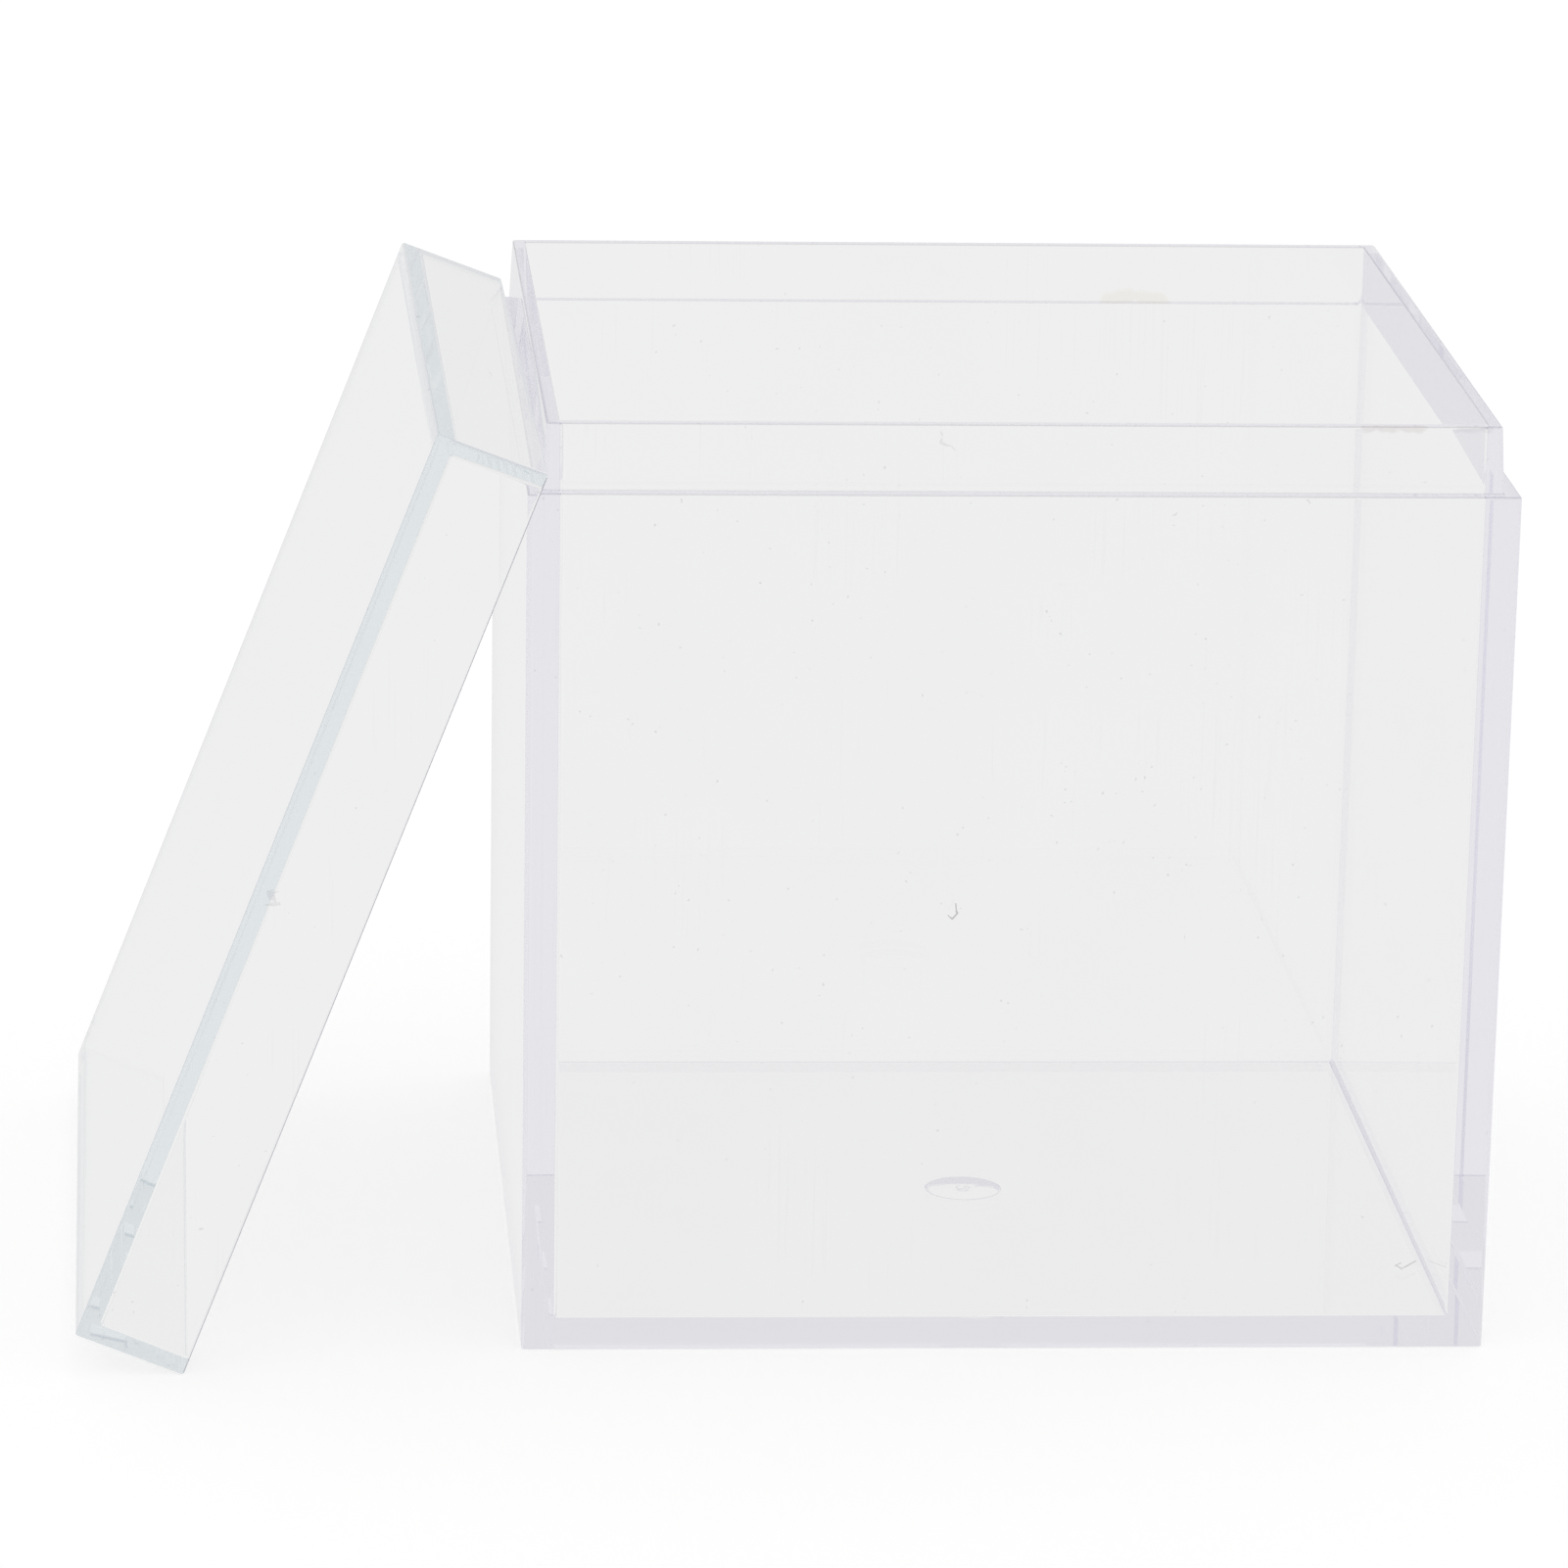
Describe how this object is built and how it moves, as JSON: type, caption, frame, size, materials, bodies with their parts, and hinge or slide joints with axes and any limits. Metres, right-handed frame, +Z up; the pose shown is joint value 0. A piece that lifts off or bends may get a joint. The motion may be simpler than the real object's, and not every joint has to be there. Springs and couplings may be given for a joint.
{
  "type": "candy bin with lift-off lid",
  "caption": "Clear moulded square candy box, open at the top, with a stepped neck and a shallow lift-off lid leaning on its side.",
  "frame": {"origin": "middle of the box's base, on the surface that it stands on", "axes": "+Z up; the front of the box faces -Y; the lid leans on the box's -X side"},
  "size_m": [0.1095, 0.0804, 0.0729],
  "materials": {
    "clear_box_plastic": "clear polished polystyrene, faintly lavender where seen edge on",
    "clear_lid_plastic": "clear polished polystyrene, faintly blue-green where seen edge on"
  },
  "bodies": {
    "box": {"box_body": "clear_box_plastic"},
    "lid": {"lid": "clear_lid_plastic"}
  },
  "joints": [
    {"name": "lid_lift", "type": "slide", "parent": "box", "child": "lid", "axis": [0, 0, 1], "range_m": [0, 0.08]}
  ]
}
